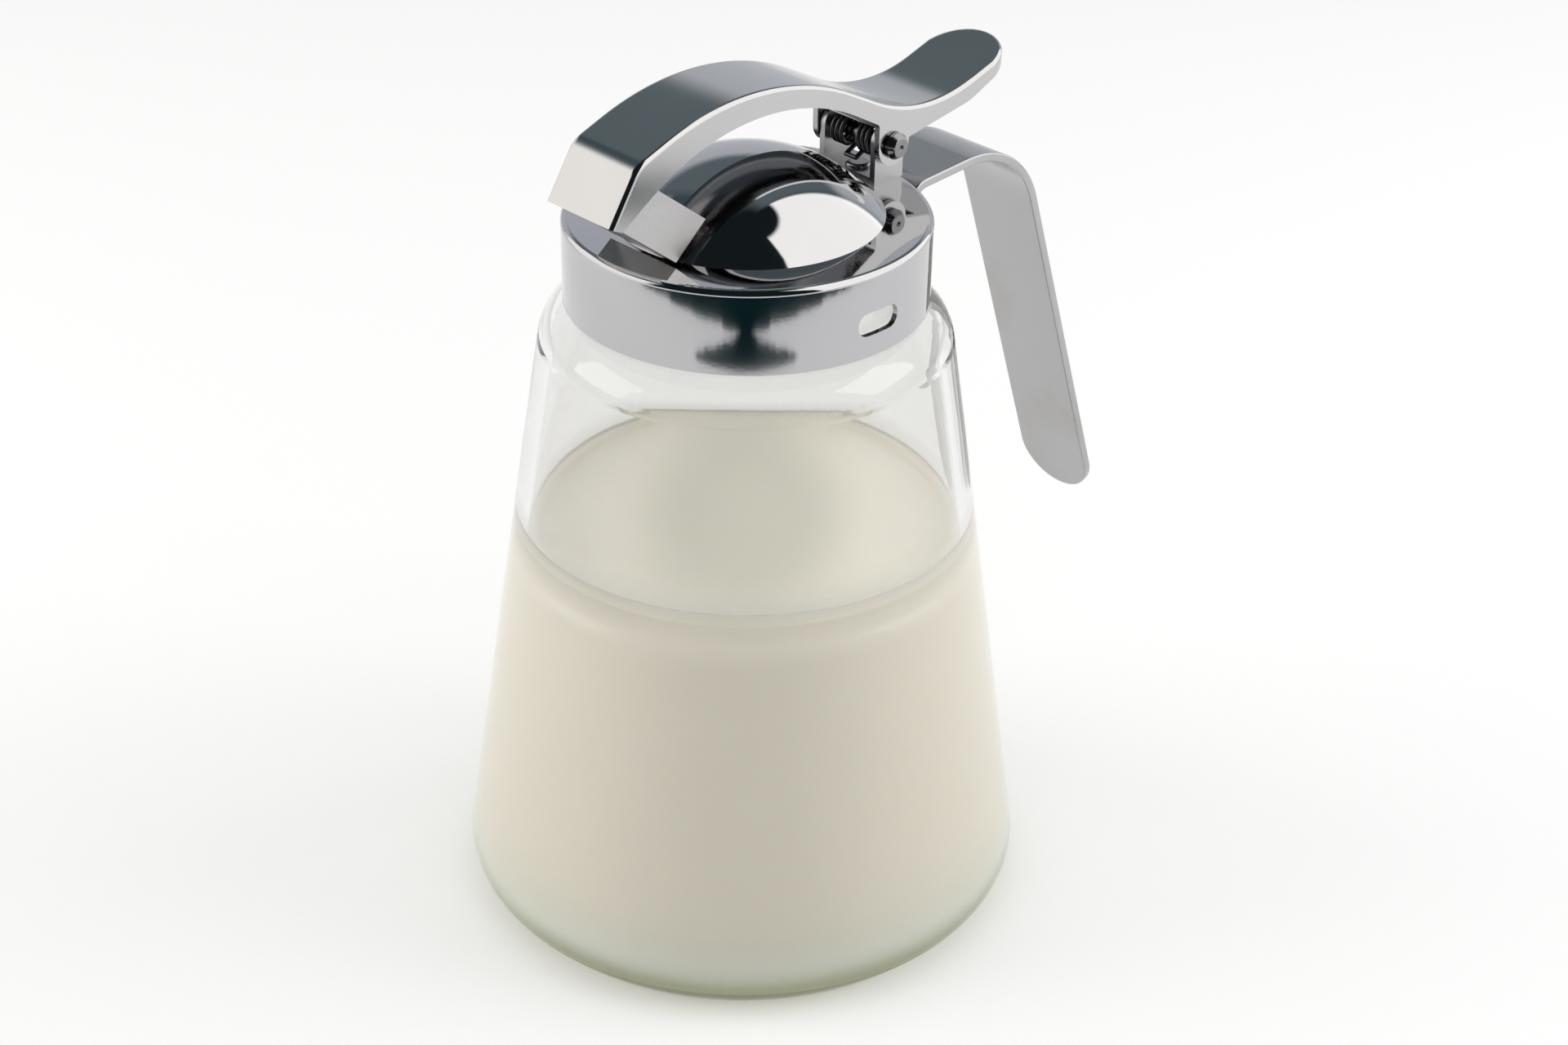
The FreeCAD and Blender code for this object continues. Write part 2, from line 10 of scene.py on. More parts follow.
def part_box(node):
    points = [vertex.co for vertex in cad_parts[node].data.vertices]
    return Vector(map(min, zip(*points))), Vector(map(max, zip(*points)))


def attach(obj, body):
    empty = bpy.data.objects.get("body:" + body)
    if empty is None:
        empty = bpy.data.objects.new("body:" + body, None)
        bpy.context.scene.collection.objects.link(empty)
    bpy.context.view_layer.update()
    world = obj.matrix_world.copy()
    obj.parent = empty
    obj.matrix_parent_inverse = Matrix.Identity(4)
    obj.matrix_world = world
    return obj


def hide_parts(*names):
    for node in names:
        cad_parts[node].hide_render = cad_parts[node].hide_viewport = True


bl_info = {
    "name": "Milk jug",
    "version": (1, 0, 0),
    "blender": (4, 5, 0),
    "location": "View3D > Sidebar > Milk jug",
    "description": "Builds the looks of a glass milk jug with a steel cap and a sprung lever",
    "category": "Object",
}

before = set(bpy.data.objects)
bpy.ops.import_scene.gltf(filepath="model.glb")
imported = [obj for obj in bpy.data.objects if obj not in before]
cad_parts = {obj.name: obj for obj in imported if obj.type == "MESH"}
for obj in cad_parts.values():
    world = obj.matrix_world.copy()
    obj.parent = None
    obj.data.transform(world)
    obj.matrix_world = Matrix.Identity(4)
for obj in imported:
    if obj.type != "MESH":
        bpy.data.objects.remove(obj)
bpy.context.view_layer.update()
MM = 0.001
MILK_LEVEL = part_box("milk")[1].z


# --- sizes and colours a user would change --------------------------------------------------


class GlassSettings(bpy.types.PropertyGroup):
    """The jar's glass."""

    tint: FloatVectorProperty(
        name="Tint", description="Colour of light that has passed one wall", subtype="COLOR",
        size=3, min=0, max=1, default=(0.885, 0.886, 0.876))
    ior: FloatProperty(
        name="Index", description="Refractive index of the glass", min=1.3, max=1.9, default=1.5)
    foot_tint: FloatVectorProperty(
        name="Foot tint", description="Colour of the thick glass at the very foot",
        subtype="COLOR", size=3, min=0, max=1, default=(0.36, 0.37, 0.11))
    foot_height: FloatProperty(
        name="Foot height", description="Height up to which the foot's tint shows",
        subtype="DISTANCE", unit="LENGTH", min=0, max=0.02, default=0.0052)
    waviness: FloatProperty(
        name="Waviness", description="Height of the slow waves of moulded glass",
        subtype="DISTANCE", unit="LENGTH", min=0, max=0.001, default=0.00004)


class MilkSettings(bpy.types.PropertyGroup):
    """The milk in the jar."""

    colour: FloatVectorProperty(
        name="Colour", description="Colour of the milk", subtype="COLOR",
        size=3, min=0, max=1, default=(0.815, 0.775, 0.675))
    heel: FloatVectorProperty(
        name="Heel", description="Colour of the milk low down, over the thick glass",
        subtype="COLOR", size=3, min=0, max=1, default=(0.76, 0.785, 0.70))
    film_colour: FloatVectorProperty(
        name="Film colour", description="Colour of the thin film on the glass", subtype="COLOR",
        size=3, min=0, max=1, default=(0.86, 0.86, 0.82))
    shade: FloatVectorProperty(
        name="Shade", description="Colour of the milk's surface where the lid shades it",
        subtype="COLOR", size=3, min=0, max=1, default=(0.68, 0.668, 0.558))
    reach: FloatProperty(
        name="Reach", description="How far the milk's side reaches into the glass wall",
        subtype="DISTANCE", unit="LENGTH", min=0, max=0.001, default=0.0003)
    climb: FloatProperty(
        name="Climb", description="How far the milk's edge climbs the glass",
        subtype="DISTANCE", unit="LENGTH", min=0, max=0.004, default=0.0017)
    film: FloatProperty(
        name="Film", description="How far a thin film of milk clings to the glass above the milk",
        subtype="DISTANCE", unit="LENGTH", min=0.001, max=0.02, default=0.007)
    segments: IntProperty(
        name="Segments", description="Segments round the milk", min=24, max=360, default=192)


class MetalSettings(bpy.types.PropertyGroup):
    """The steel and cast pieces."""

    steel: FloatVectorProperty(
        name="Steel", description="Colour of the polished steel sheet", subtype="COLOR",
        size=3, min=0, max=1, default=(0.50, 0.50, 0.512))
    cast: FloatVectorProperty(
        name="Casting", description="Colour of the plated lever and stopper", subtype="COLOR",
        size=3, min=0, max=1, default=(0.51, 0.51, 0.512))
    wire: FloatVectorProperty(
        name="Wire", description="Colour of the spring wire", subtype="COLOR",
        size=3, min=0, max=1, default=(0.10, 0.10, 0.105))
    stain: FloatVectorProperty(
        name="Stain", description="Colour of the faint stains on the strap and the stopper",
        subtype="COLOR", size=3, min=0, max=1, default=(0.34, 0.315, 0.26))
    polish: FloatProperty(
        name="Polish", description="Roughness of the polished steel", min=0, max=1, default=0.022)


class StageSettings(bpy.types.PropertyGroup):
    """Floor, lamps and camera."""

    lens: FloatProperty(
        name="Lens", description="Focal length of the camera in millimetres", min=20, max=200,
        default=63.27)
    room: FloatProperty(
        name="Room light", description="Strength of the even light from all round", min=0, max=3,
        default=0.66)
    left_lamp: FloatProperty(
        name="Left lamp", description="Power of the lamp on the left", unit="POWER", min=0,
        max=100, default=2.7)
    right_lamp: FloatProperty(
        name="Right lamp", description="Power of the lamp on the right", unit="POWER", min=0,
        max=100, default=2.9)


class JugSettings(bpy.types.PropertyGroup):
    """All settings of the milk jug."""

    glass: PointerProperty(type=GlassSettings, name="Glass", description="The jar's glass")
    milk: PointerProperty(type=MilkSettings, name="Milk", description="The milk in the jar")
    metal: PointerProperty(type=MetalSettings, name="Metal", description="Steel and castings")
    stage: PointerProperty(type=StageSettings, name="Stage", description="Floor and lamps")


# --- shader node groups ---------------------------------------------------------------------


def new_group(name, inputs, outputs):
    """A shader group with float inputs {name: default} and outputs {name: type}, and its ends."""
    group = bpy.data.node_groups.new(name, "ShaderNodeTree")
    for label, default in inputs.items():
        socket = group.interface.new_socket(label, in_out="INPUT", socket_type="NodeSocketFloat")
        socket.default_value = default
    for label, kind in outputs.items():
        group.interface.new_socket(label, in_out="OUTPUT", socket_type=kind)
    return group, group.nodes.new("NodeGroupInput"), group.nodes.new("NodeGroupOutput")


def fill_socket(tree, socket, content):
    """Links a socket to the input, or sets the input to a plain value."""
    if isinstance(content, bpy.types.NodeSocket):
        tree.links.new(content, socket)
    else:
        socket.default_value = content


def node(tree, kind, **values):
    """A new node; each value is a setting of the node, or fills the input of that name."""
    made = tree.nodes.new(kind)
    for label, content in values.items():
        if hasattr(made, label):
            setattr(made, label, content)
        else:
            fill_socket(tree, made.inputs[label.replace("_", " ")], content)
    return made


def math_node(tree, operation, a, b):
    """The output of a Math node of two inputs, each a number or a socket."""
    made = node(tree, "ShaderNodeMath", operation=operation)
    fill_socket(tree, made.inputs[0], a)
    fill_socket(tree, made.inputs[1], b)
    return made.outputs[0]


def vector_node(tree, operation, a, b=None):
    """A Vector Math node of one or two inputs, each a vector or a socket."""
    made = node(tree, "ShaderNodeVectorMath", operation=operation)
    fill_socket(tree, made.inputs[0], a)
    if b is not None:
        fill_socket(tree, made.inputs[1], b)
    return made


def smooth_step(tree, value, low, high, start=0.0, end=1.0):
    """A soft change from start, at a low value, to end, at a high one."""
    step = node(tree, "ShaderNodeMapRange", interpolation_type="SMOOTHSTEP", Value=value,
                From_Min=low, From_Max=high, To_Min=start, To_Max=end)
    return step.outputs[0]


def noise(tree, scale, detail):
    """Noise that is fixed to the piece."""
    place = node(tree, "ShaderNodeTexCoord")
    return node(tree, "ShaderNodeTexNoise", Vector=place.outputs["Object"], Scale=scale,
                Detail=detail).outputs[0]


def handling_marks_group():
    """Fine scratches and cloudy smears on metal: roughness, bump height and a cloudy tone."""
    group, start, end = new_group(
        "HandlingMarks",
        {"Roughness": 0.07, "Smear": 0.04, "Scale": 90.0},
        {"Roughness": "NodeSocketFloat", "Height": "NodeSocketFloat", "Tone": "NodeSocketFloat"})
    scratches_to_smears = 26.0
    cloud = noise(group, start.outputs["Scale"], detail=4.0)
    fine = math_node(group, "MULTIPLY", start.outputs["Scale"], scratches_to_smears)
    smear = math_node(group, "MULTIPLY", cloud, start.outputs["Smear"])
    rough = math_node(group, "ADD", start.outputs["Roughness"], smear)
    group.links.new(rough, end.inputs["Roughness"])
    group.links.new(noise(group, fine, detail=2.0), end.inputs["Height"])
    group.links.new(cloud, end.inputs["Tone"])
    return group


def mottle_group():
    """Slow cloudy change over a surface: a value between two limits, and a bump height."""
    group, start, end = new_group(
        "Mottle", {"Scale": 20.0, "Low": 0.9, "High": 1.0},
        {"Value": "NodeSocketFloat", "Height": "NodeSocketFloat"})
    cloud = noise(group, start.outputs["Scale"], detail=3.0)
    spread = node(group, "ShaderNodeMapRange", Value=cloud, To_Min=start.outputs["Low"],
                  To_Max=start.outputs["High"])
    group.links.new(spread.outputs[0], end.inputs["Value"])
    group.links.new(cloud, end.inputs["Height"])
    return group


GROUP_MAKERS = {"HandlingMarks": handling_marks_group, "Mottle": mottle_group}


def place_group(tree, name, **values):
    """A node that shows one of the shared groups, built when first used, with its own values."""
    made = tree.nodes.new("ShaderNodeGroup")
    made.node_tree = bpy.data.node_groups.get(name) or GROUP_MAKERS[name]()
    for label, content in values.items():
        made.inputs[label].default_value = content
    return made


# --- materials ------------------------------------------------------------------------------

METAL_TONES = (0.95, 1.03)  # darkest and lightest cloudy tone of a metal
SCRATCH_DEPTH = 0.0006 * MM
STAIN_SCALE = 55.0
STAIN_EDGE = (0.5, 0.85)  # values of the cloudy noise at which a stain begins and is full
STAIN_STRENGTH = 0.45

FOOT_EDGE = 0.05  # softness of the foot tint's upper edge, as a share of its height

HEEL_TOP = 13 * MM  # the milk's heel tone fades out about this height
HEEL_FADE = 6 * MM
SURFACE_DEPTH = 0.5 * MM  # milk nearer its level than this counts as the surface
SURFACE_FADE = 0.2 * MM
SURFACE_PAINTED_LIGHT = 1.12  # painted light: how much lighter the milk's top surface is painted than its side
LID_SHADE = (9 * MM, 25 * MM)  # half widths: full shade within the first, none past the second
LID_SHADE_LENGTH = 2.0  # length of the patch over its width
LID_SHADE_BEARING = 45  # degrees about the jug's axis
ENDLESS = 1000.0  # stretch of the patch upwards, so that height doesn't count
FILM_ALPHA = 0.3  # how much of the glass the film covers at its foot


def new_material(name):
    """A material with its tree and its Principled shader."""
    material = bpy.data.materials.new(name)
    material.use_nodes = True
    tree = material.node_tree
    return material, tree, tree.nodes["Principled BSDF"]


def set_inputs(shader, values):
    """Sets plain values on a shader's own sockets."""
    for label, content in values.items():
        shader.inputs[label].default_value = content


def dimmed(colour, share):
    """The colour times a share, which may be over one."""
    return tuple(channel * share for channel in colour)


def mixed(tree, factor, first, second, blend="MIX"):
    """The first colour where the factor is zero, the second blended in where it is one."""
    mix = node(tree, "ShaderNodeMix", data_type="RGBA", blend_type=blend)
    fill_socket(tree, mix.inputs["Factor"], factor)
    for socket, colour in ((mix.inputs[6], first), (mix.inputs[7], second)):
        if not isinstance(colour, bpy.types.NodeSocket):
            colour = (*colour, 1.0)
        fill_socket(tree, socket, colour)
    return mix.outputs[2]


def tinted(tree, colour, tone, low, high):
    """The colour times a tone that runs from low to high over the surface."""
    spread = node(tree, "ShaderNodeMapRange", Value=tone, To_Min=low, To_Max=high)
    return mixed(tree, 1.0, colour, spread.outputs[0], blend="MULTIPLY")


def height_above_table(tree):
    """The height of the point on the surface."""
    place = node(tree, "ShaderNodeTexCoord")
    return node(tree, "ShaderNodeSeparateXYZ", Vector=place.outputs["Object"]).outputs["Z"]


def height_mask(tree, height, soft):
    """Zero below a height and one above it."""
    return smooth_step(tree, height_above_table(tree), height - soft, height + soft)


def lid_shade(tree):
    """Zero in a long patch about the jug's axis, under the lid, and one outside it."""
    place = node(tree, "ShaderNodeTexCoord")
    patch = node(tree, "ShaderNodeMapping", vector_type="TEXTURE",
                 Rotation=(0, 0, math.radians(LID_SHADE_BEARING)),
                 Scale=(LID_SHADE_LENGTH, 1.0, ENDLESS), Vector=place.outputs["Object"])
    across = vector_node(tree, "LENGTH", patch.outputs[0])
    return smooth_step(tree, across.outputs["Value"], *LID_SHADE)


def bump(tree, shader, distance, height):
    """Gives a shader relief of a depth from a height that changes over the surface."""
    made = node(tree, "ShaderNodeBump", Distance=distance, Height=height)
    tree.links.new(made.outputs[0], shader.inputs["Normal"])


def metal_material(name, colour, roughness, smear=0.05, scale=90.0, stain=None):
    """A plated or polished metal with fine wiping marks and, if asked, faint stains."""
    material, tree, shader = new_material(name)
    set_inputs(shader, {"Metallic": 1.0})
    marks = place_group(tree, "HandlingMarks", Roughness=roughness, Smear=smear, Scale=scale)
    tree.links.new(marks.outputs["Roughness"], shader.inputs["Roughness"])
    tone = tinted(tree, colour, marks.outputs["Tone"], *METAL_TONES)
    if stain is not None:
        cloud = place_group(tree, "Mottle", Scale=STAIN_SCALE, Low=0.0, High=1.0)
        patches = smooth_step(tree, cloud.outputs["Value"], *STAIN_EDGE, end=STAIN_STRENGTH)
        tone = mixed(tree, patches, tone, stain)
    tree.links.new(tone, shader.inputs["Base Color"])
    bump(tree, shader, SCRATCH_DEPTH, marks.outputs["Height"])
    return material


def glass_material(glass):
    """Clear glass with the slow waves of moulding, deeper in colour at the thick foot."""
    material, tree, shader = new_material("clear_glass")
    set_inputs(shader, {"Transmission Weight": 1.0, "IOR": glass.ior, "Roughness": 0.0})
    cloud = place_group(tree, "Mottle", Scale=28.0, Low=0.97, High=1.0)
    clear = tinted(tree, glass.tint, cloud.outputs["Value"], low=0.985, high=1.0)
    foot = height_mask(tree, glass.foot_height, glass.foot_height * FOOT_EDGE)
    tree.links.new(mixed(tree, foot, glass.foot_tint, clear), shader.inputs["Base Color"])
    bump(tree, shader, glass.waviness, cloud.outputs["Height"])
    return material


def milk_material(milk):
    """Opaque off-white liquid with light soaking in; its top surface is painted lighter than its
    side, with painted shade on it under the lid.
    """
    material, tree, shader = new_material("milk")
    set_inputs(shader, {"Roughness": 0.08, "IOR": 1.35, "Subsurface Weight": 0.35,
                        "Subsurface Scale": 4 * MM, "Subsurface Radius": (1.0, 0.85, 0.6)})
    cloud = place_group(tree, "Mottle", Scale=14.0, Low=0.98, High=1.0).outputs["Value"]
    body = tinted(tree, milk.colour, cloud, low=0.98, high=1.0)
    side = mixed(tree, height_mask(tree, HEEL_TOP, HEEL_FADE), milk.heel, body)
    # painted light: the top surface gets a lighter copy of the milk's own colour
    lit = tinted(tree, dimmed(milk.colour, SURFACE_PAINTED_LIGHT), cloud, low=0.98, high=1.0)
    surface = mixed(tree, lid_shade(tree), milk.shade, lit)
    top = height_mask(tree, MILK_LEVEL - SURFACE_DEPTH, SURFACE_FADE)
    tree.links.new(mixed(tree, top, side, surface), shader.inputs["Base Color"])
    return material


def film_material(milk):
    """A thin film of milk on the glass, which thins out upwards."""
    material, tree, shader = new_material("milk_film")
    set_inputs(shader, {"Base Color": (*milk.film_colour, 1.0), "Roughness": 0.6,
                        "Specular IOR Level": 0.0})
    cloud = place_group(tree, "Mottle", Scale=20.0, Low=0.85, High=1.0)
    fade = smooth_step(tree, height_above_table(tree), MILK_LEVEL, MILK_LEVEL + milk.film,
                       start=FILM_ALPHA, end=0.0)
    alpha = math_node(tree, "MULTIPLY", fade, cloud.outputs["Value"])
    tree.links.new(alpha, shader.inputs["Alpha"])
    return material


# --- meshes ---------------------------------------------------------------------------------

SMOOTH_ANGLE = 32  # edges sharper than this, in degrees, stay sharp
ON_AXIS = 1e-7
SAME_HEIGHT = 1e-5
RING_GAP = 0.1 * MM  # rings of a turned piece nearer each other than this count as one
WALL_RING = 20 * MM  # the milk's rings wider than this lie on the jar's wall


def mesh_object(name, points, faces, smooth=True):
    """A mesh object in the scene."""
    mesh = bpy.data.meshes.new(name)
    mesh.from_pydata(points, [], faces)
    mesh.validate()
    mesh.update()
    for face in mesh.polygons:
        face.use_smooth = smooth
    made = bpy.data.objects.new(name, mesh)
    bpy.context.scene.collection.objects.link(made)
    return made


def circle_point(radius, angle, height):
    """The point at a radius and an angle about the jug's axis."""
    return (radius * math.cos(angle), radius * math.sin(angle), height)


def lathe(name, profile, segments):
    """A closed solid turned from (radius, height) points about the jug's axis."""
    points, faces, rows = [], [], []
    for radius, height in profile:
        if radius < ON_AXIS:
            rows.append([len(points)] * segments)
            points.append((0, 0, height))
            continue
        rows.append(range(len(points), len(points) + segments))
        for i in range(segments):
            points.append(circle_point(radius, 2 * math.pi * i / segments, height))
    for low, high in zip(rows, rows[1:]):
        for i in range(segments):
            j = (i + 1) % segments
            corners = [low[i], low[j], high[j], high[i]]
            faces.append(tuple(dict.fromkeys(corners)))
    return mesh_object(name, points, faces)


def smooth_by_angle(piece, degrees):
    """Smooth shading that keeps edges sharper than the angle."""
    mesh = piece.data
    for face in mesh.polygons:
        face.use_smooth = True
    if not mesh.has_custom_normals:
        mesh.set_sharp_from_angle(angle=math.radians(degrees))


def wall_radius(rings):
    """A function that gives the inner wall's radius at a height, from the milk's own rings."""
    side = sorted((height, radius) for radius, height in rings if radius > WALL_RING)

    def at(height):
        for (low, r_low), (high, r_high) in zip(side, side[1:]):
            if low <= height <= high and high - low > SAME_HEIGHT:
                return r_low + (r_high - r_low) * (height - low) / (high - low)
        return max(side)[1]
    return at


def outer_rings(node_name):
    """(radius, height) of the rings of a turned CAD node, from its lowest to its highest."""
    found = set()
    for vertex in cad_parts[node_name].data.vertices:
        x, y, z = vertex.co
        found.add((round(z, 6), round(math.hypot(x, y), 6)))
    kept = []
    for height, radius in sorted(found):
        if kept and math.hypot(kept[-1][0] - radius, kept[-1][1] - height) < RING_GAP:
            continue
        kept.append((radius, height))
    return kept


# --- the jug's pieces -----------------------------------------------------------------------

EDGE_WIDTH = 2.4 * MM  # how far in from the wall the milk's edge starts to climb
EDGE_POWER = 2.5
EDGE_STEPS = 4
FILM_STEPS = 8
FILM_LIFT = 0.2 * MM  # gap between the milk's level and the film
FILM_OUT = 0.08 * MM  # how far the film reaches into the glass, and out of it
FILM_IN = 0.12 * MM
LEAN_SPAN = 20 * MM  # the film follows the lean of this much of the wall, just below the level


def dress(node_names, material):
    """Gives CAD nodes a material and smooth shading."""
    for name in node_names:
        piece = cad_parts[name]
        piece.data.materials.clear()
        piece.data.materials.append(material)
        smooth_by_angle(piece, SMOOTH_ANGLE)


class JUG_OT_glass(bpy.types.Operator):
    """Dress the jar in clear glass"""

    bl_idname = "milk_jug.glass"
    bl_label = "Glass jar"

    def execute(self, context):
        dress(["glass_jar"], glass_material(context.scene.milk_jug.glass))
        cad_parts["glass_jar"].visible_shadow = False
        return {"FINISHED"}


class JUG_OT_milk(bpy.types.Operator):
    """Build the milk, reaching just into the glass, and the film that it leaves on the wall"""

    bl_idname = "milk_jug.milk"
    bl_label = "Milk"

    def execute(self, context):
        milk = context.scene.milk_jug.milk
        rings = outer_rings("milk")
        self.fill(milk, rings)
        self.film(milk, rings)
        return {"FINISHED"}

    def fill(self, milk, rings):
        """The milk itself: its side lies just inside the glass and its edge climbs the wall."""
        floor = rings[0][1] - milk.reach
        below = MILK_LEVEL - SAME_HEIGHT
        side = [(r + milk.reach, z) for r, z in rings if r > WALL_RING and z < below]
        wall = max(r for r, z in rings if z > below)
        profile = [(0, floor), (side[0][0] - milk.reach, floor)] + side
        for step in range(EDGE_STEPS + 1):
            share = step / EDGE_STEPS
            profile.append((wall + milk.reach - EDGE_WIDTH * share,
                            MILK_LEVEL + milk.climb * (1 - share) ** EDGE_POWER))
        profile += [(wall / 2, MILK_LEVEL), (0, MILK_LEVEL)]
        fill = lathe("milk_fill", profile, milk.segments)
        fill.data.materials.append(milk_material(milk))
        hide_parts("milk")
        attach(fill, "jug")

    def film(self, milk, rings):
        """A thin ring of clinging milk on the inner wall, above the milk."""
        wall = wall_radius(rings)
        at_level = wall(MILK_LEVEL)
        lean = at_level - wall(MILK_LEVEL - LEAN_SPAN)
        outside, inside = [], []
        for step in range(FILM_STEPS + 1):
            up = milk.film * step / FILM_STEPS
            radius = at_level + lean * up / LEAN_SPAN
            height = MILK_LEVEL + FILM_LIFT + up
            outside.append((radius + FILM_OUT, height))
            inside.append((radius - FILM_IN, height))
        ring = lathe("milk_film", outside + inside[::-1] + outside[:1], milk.segments)
        ring.data.materials.append(film_material(milk))
        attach(ring, "jug")


class JUG_OT_metal(bpy.types.Operator):
    """Dress the cap, hinge, lever, spring and handle in their metals"""

    bl_idname = "milk_jug.metal"
    bl_label = "Metal pieces"

    def execute(self, context):
        metal = context.scene.milk_jug.metal
        steel, cast = metal.steel, metal.cast
        dress(["cap"], metal_material("cap_steel", steel, roughness=metal.polish, scale=60.0))
        dress(["handle_strap"], metal_material(
            "strap_steel", dimmed(steel, share=0.90), roughness=0.2, smear=0.06, scale=30.0,
            stain=metal.stain))
        dress(["hinge_bracket"], metal_material(
            "bracket_steel", dimmed(steel, share=0.95), roughness=0.3, smear=0.08))
        dress(["thumb_lever"], metal_material("lever_plating", cast, roughness=0.09))
        dress(["stopper"], metal_material(
            "stopper_plating", dimmed(cast, share=1.12), roughness=0.22, smear=0.1,
            stain=metal.stain))
        dress(["spring"], metal_material("spring_wire", metal.wire, roughness=0.3))
        dress(["hinge_pin", "bracket_rivet"], metal_material(
            "pin_steel", dimmed(steel, share=0.5), roughness=0.18))
        return {"FINISHED"}


# --- what the metal mirrors: soft boxes in a dark room, and a dark shape on the floor ----------

# (bearing from, to, softness), (height from, to, softness), tone: degrees round and above the jug
SOFT_BOXES = (
    ((-90, 6, 1.5), (0, 74, 1.5), (1.68, 1.65, 1.60)),
    ((92, 168, 5), (-4, 41.5, 5), (1.50, 1.44, 1.36)),
    ((6, 92, 6), (-20, 31, 5), (0.62, 0.64, 0.68)),
    ((6, 88, 6), (31, 80, 6), (0.15, 0.185, 0.2)),
    ((88, 120, 6), (31, 80, 6), (0.065, 0.095, 0.11)),
)
DARK_ROOM = (0.012, 0.018, 0.02)
SHELL_RADIUS = 2.0
SHELL_LOW = -3  # the shell starts at this height in degrees, a little below the floor
SHELL_SEGMENTS = 96
SHELL_RINGS = 48

# The dark shape is a bow tie: distances of its near end, waist and far end from the jug's axis
FLAG_COLOUR = (0.004, 0.020, 0.024)
FLAG_NEAR, FLAG_WAIST, FLAG_FAR = 0.2655, 0.2890, 0.345
FLAG_BEARING = -133.6  # degrees about the jug's axis
FLAG_HEIGHT = 1 * MM
FLAG_COLUMNS = 24
FLAG_ROWS = 96
WAIST_ANGLE = 5  # half angles in degrees: at the waist, added near it, added far from it
NEAR_BULGE = 25
FAR_SPREAD = 160
FAR_LIMIT = 84
LEAST_ANGLE = 0.5
RIPPLES = ((2.4, 61, 0), (1.6, 37, 1))  # (degrees, waves, phase) of its frayed sides


def seen_rays(tree):
    """One for camera, glossy and transmission rays and zero for the others."""
    path = node(tree, "ShaderNodeLightPath").outputs
    rays = math_node(tree, "MAXIMUM", path["Is Camera Ray"], path["Is Glossy Ray"])
    return math_node(tree, "MAXIMUM", rays, path["Is Transmission Ray"])


def seen_white(tree, shader, strength):
    """Adds plain white to a stage shader where the eye sees it, directly or in glass or metal."""
    glow = node(tree, "ShaderNodeEmission",
                Strength=math_node(tree, "MULTIPLY", seen_rays(tree), strength))
    added = tree.nodes.new("ShaderNodeAddShader")
    tree.links.new(shader.outputs[0], added.inputs[0])
    tree.links.new(glow.outputs[0], added.inputs[1])
    tree.links.new(added.outputs[0], tree.nodes["Material Output"].inputs["Surface"])


def glow_material(name):
    """A glowing material that metal mirrors and clear glass doesn't."""
    material = bpy.data.materials.new(name)
    material.use_nodes = True
    tree = material.node_tree
    tree.nodes.clear()
    path = node(tree, "ShaderNodeLightPath")
    glow = node(tree, "ShaderNodeEmission", Strength=1.0)
    clear = node(tree, "ShaderNodeBsdfTransparent")
    choice = node(tree, "ShaderNodeMixShader", Fac=path.outputs["Is Singular Ray"])
    tree.links.new(glow.outputs[0], choice.inputs[1])
    tree.links.new(clear.outputs[0], choice.inputs[2])
    node(tree, "ShaderNodeOutputMaterial", Surface=choice.outputs[0])
    return material, tree, glow


def mirrored_only(piece, material):
    """Puts a piece on the stage that shows in reflections and nowhere else."""
    piece.data.materials.append(material)
    piece.visible_camera = False
    piece.visible_diffuse = False
    piece.visible_transmission = False
    piece.visible_shadow = False
    piece.visible_volume_scatter = False


def band(tree, value, low, high, soft):
    """One between two values and zero outside them, with soft sides."""
    rise = smooth_step(tree, value, low - soft, low + soft)
    fall = smooth_step(tree, value, high - soft, high + soft, start=1.0, end=0.0)
    return math_node(tree, "MULTIPLY", rise, fall)


def studio_material():
    """A dark room lit by soft boxes, laid out by bearing and height."""
    material, tree, glow = glow_material("studio_room")
    place = node(tree, "ShaderNodeTexCoord")
    level = vector_node(tree, "NORMALIZE", place.outputs["Object"])
    parts = node(tree, "ShaderNodeSeparateXYZ", Vector=level.outputs[0])
    bearing = math_node(tree, "ARCTAN2", parts.outputs["Y"], parts.outputs["X"])
    bearing = math_node(tree, "MULTIPLY", bearing, math.degrees(1))
    height = math_node(tree, "ARCSINE", parts.outputs["Z"], 0)
    height = math_node(tree, "MULTIPLY", height, math.degrees(1))
    total = DARK_ROOM
    for round_it, up_it, tone in SOFT_BOXES:
        across, upright = band(tree, bearing, *round_it), band(tree, height, *up_it)
        lit = vector_node(tree, "SCALE", tone)
        tree.links.new(math_node(tree, "MULTIPLY", across, upright), lit.inputs["Scale"])
        total = vector_node(tree, "ADD", lit.outputs[0], total).outputs[0]
    tree.links.new(total, glow.inputs["Color"])
    return material


def flag_half_angle(share):
    """Half angle in degrees of the dark shape, from its near end (-1) to its far end (1)."""
    ripple = sum(depth * math.sin(waves * share + phase) for depth, waves, phase in RIPPLES)
    if share > 0:
        return min(WAIST_ANGLE + FAR_SPREAD * share, FAR_LIMIT) + ripple
    return WAIST_ANGLE + NEAR_BULGE * math.sin(math.pi * share ** 2) + ripple * (1 + share)


def grid_faces(rows, columns):
    """The faces of a grid whose points run along each row in turn."""
    faces = []
    for row in range(rows):
        for column in range(columns):
            at = row * (columns + 1) + column
            faces.append((at, at + 1, at + columns + 2, at + columns + 1))
    return faces


def bow_tie(name):
    """The dark shape on the floor in front of the jug, as arcs about the jug's axis."""
    points = []
    for row in range(FLAG_ROWS + 1):
        share = 2 * row / FLAG_ROWS - 1
        reach = FLAG_FAR - FLAG_WAIST if share > 0 else FLAG_WAIST - FLAG_NEAR
        half = max(flag_half_angle(share), LEAST_ANGLE)
        for column in range(FLAG_COLUMNS + 1):
            angle = math.radians(FLAG_BEARING + half * (2 * column / FLAG_COLUMNS - 1))
            points.append(circle_point(FLAG_WAIST + share * reach, angle, FLAG_HEIGHT))
    return mesh_object(name, points, grid_faces(FLAG_ROWS, FLAG_COLUMNS), smooth=False)


